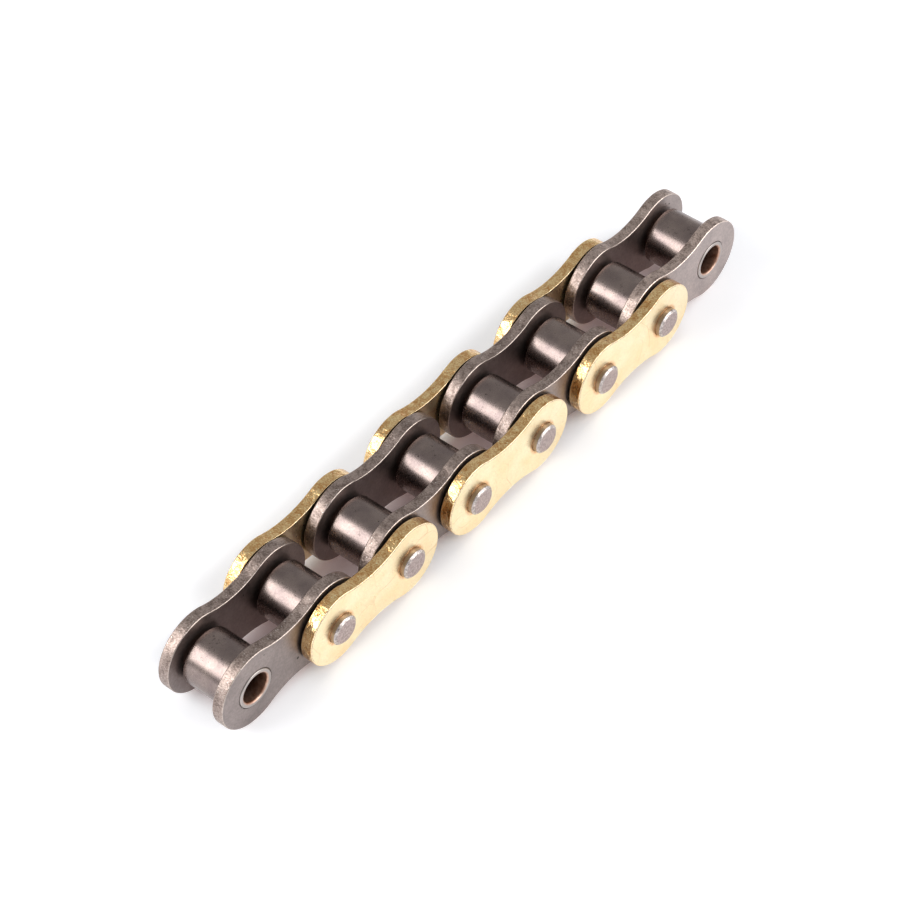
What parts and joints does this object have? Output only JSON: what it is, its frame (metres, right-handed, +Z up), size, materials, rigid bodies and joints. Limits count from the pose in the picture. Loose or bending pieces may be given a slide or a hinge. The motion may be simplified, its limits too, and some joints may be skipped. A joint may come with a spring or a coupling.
{
  "type": "motorcycle drive chain",
  "caption": "Straight length of motorcycle roller chain: bushed roller links with open ends, joined by gold plated pin links.",
  "frame": {"origin": "under the middle of the chain, on the surface that the lower edges of the inner plates stand on", "axes": "+X along the chain, Y along the pins with the near side of the picture at -Y, +Z up"},
  "size_m": [0.1, 0.0156, 0.0112],
  "materials": {
    "inner_plate_steel": "heat treated, dark and satin",
    "gold_plate": "electroplated, semi-bright",
    "pin_steel": "ground, with matt cropped ends",
    "bush_steel": "bright ends, oil stained bore",
    "roller_steel": "tumbled and polished, dark"
  },
  "bodies": {
    "outer_link_1": {"outer_plate_near_1": "gold_plate", "outer_plate_far_1": "gold_plate", "pin_1": "pin_steel", "pin_2": "pin_steel"},
    "outer_link_2": {"outer_plate_near_2": "gold_plate", "outer_plate_far_2": "gold_plate", "pin_3": "pin_steel", "pin_4": "pin_steel"},
    "outer_link_3": {"outer_plate_near_3": "gold_plate", "outer_plate_far_3": "gold_plate", "pin_5": "pin_steel", "pin_6": "pin_steel"},
    "inner_link_1": {"inner_plate_near_1": "inner_plate_steel", "inner_plate_far_1": "inner_plate_steel", "bush_1": "bush_steel", "bush_2": "bush_steel"},
    "inner_link_2": {"inner_plate_near_2": "inner_plate_steel", "inner_plate_far_2": "inner_plate_steel", "bush_3": "bush_steel", "bush_4": "bush_steel"},
    "inner_link_3": {"inner_plate_near_3": "inner_plate_steel", "inner_plate_far_3": "inner_plate_steel", "bush_5": "bush_steel", "bush_6": "bush_steel"},
    "inner_link_4": {"inner_plate_near_4": "inner_plate_steel", "inner_plate_far_4": "inner_plate_steel", "bush_7": "bush_steel", "bush_8": "bush_steel"},
    "roller_1": {"roller_1": "roller_steel"},
    "roller_2": {"roller_2": "roller_steel"},
    "roller_3": {"roller_3": "roller_steel"},
    "roller_4": {"roller_4": "roller_steel"},
    "roller_5": {"roller_5": "roller_steel"},
    "roller_6": {"roller_6": "roller_steel"},
    "roller_7": {"roller_7": "roller_steel"},
    "roller_8": {"roller_8": "roller_steel"}
  },
  "joints": [
    {"name": "pin_4_hinge", "type": "hinge", "parent": "outer_link_2", "child": "inner_link_3", "pos_m": [0.00635, 0, 0.0056], "axis": [0, -1, 0], "range_deg": [-45, 45]},
    {"name": "pin_5_hinge", "type": "hinge", "parent": "inner_link_3", "child": "outer_link_3", "pos_m": [0.01905, 0, 0.0056], "axis": [0, -1, 0], "range_deg": [-45, 45]},
    {"name": "pin_6_hinge", "type": "hinge", "parent": "outer_link_3", "child": "inner_link_4", "pos_m": [0.03175, 0, 0.0056], "axis": [0, -1, 0], "range_deg": [-45, 45]},
    {"name": "pin_3_hinge", "type": "hinge", "parent": "outer_link_2", "child": "inner_link_2", "pos_m": [-0.00635, 0, 0.0056], "axis": [0, 1, 0], "range_deg": [-45, 45]},
    {"name": "pin_2_hinge", "type": "hinge", "parent": "inner_link_2", "child": "outer_link_1", "pos_m": [-0.01905, 0, 0.0056], "axis": [0, 1, 0], "range_deg": [-45, 45]},
    {"name": "pin_1_hinge", "type": "hinge", "parent": "outer_link_1", "child": "inner_link_1", "pos_m": [-0.03175, 0, 0.0056], "axis": [0, 1, 0], "range_deg": [-45, 45]},
    {"name": "roller_1_spin", "type": "hinge", "parent": "inner_link_1", "child": "roller_1", "pos_m": [-0.04445, 0, 0.0056], "axis": [0, -1, 0], "continuous": true},
    {"name": "roller_2_spin", "type": "hinge", "parent": "inner_link_1", "child": "roller_2", "pos_m": [-0.03175, 0, 0.0056], "axis": [0, -1, 0], "continuous": true},
    {"name": "roller_3_spin", "type": "hinge", "parent": "inner_link_2", "child": "roller_3", "pos_m": [-0.01905, 0, 0.0056], "axis": [0, -1, 0], "continuous": true},
    {"name": "roller_4_spin", "type": "hinge", "parent": "inner_link_2", "child": "roller_4", "pos_m": [-0.00635, 0, 0.0056], "axis": [0, -1, 0], "continuous": true},
    {"name": "roller_5_spin", "type": "hinge", "parent": "inner_link_3", "child": "roller_5", "pos_m": [0.00635, 0, 0.0056], "axis": [0, -1, 0], "continuous": true},
    {"name": "roller_6_spin", "type": "hinge", "parent": "inner_link_3", "child": "roller_6", "pos_m": [0.01905, 0, 0.0056], "axis": [0, -1, 0], "continuous": true},
    {"name": "roller_7_spin", "type": "hinge", "parent": "inner_link_4", "child": "roller_7", "pos_m": [0.03175, 0, 0.0056], "axis": [0, -1, 0], "continuous": true},
    {"name": "roller_8_spin", "type": "hinge", "parent": "inner_link_4", "child": "roller_8", "pos_m": [0.04445, 0, 0.0056], "axis": [0, -1, 0], "continuous": true}
  ]
}
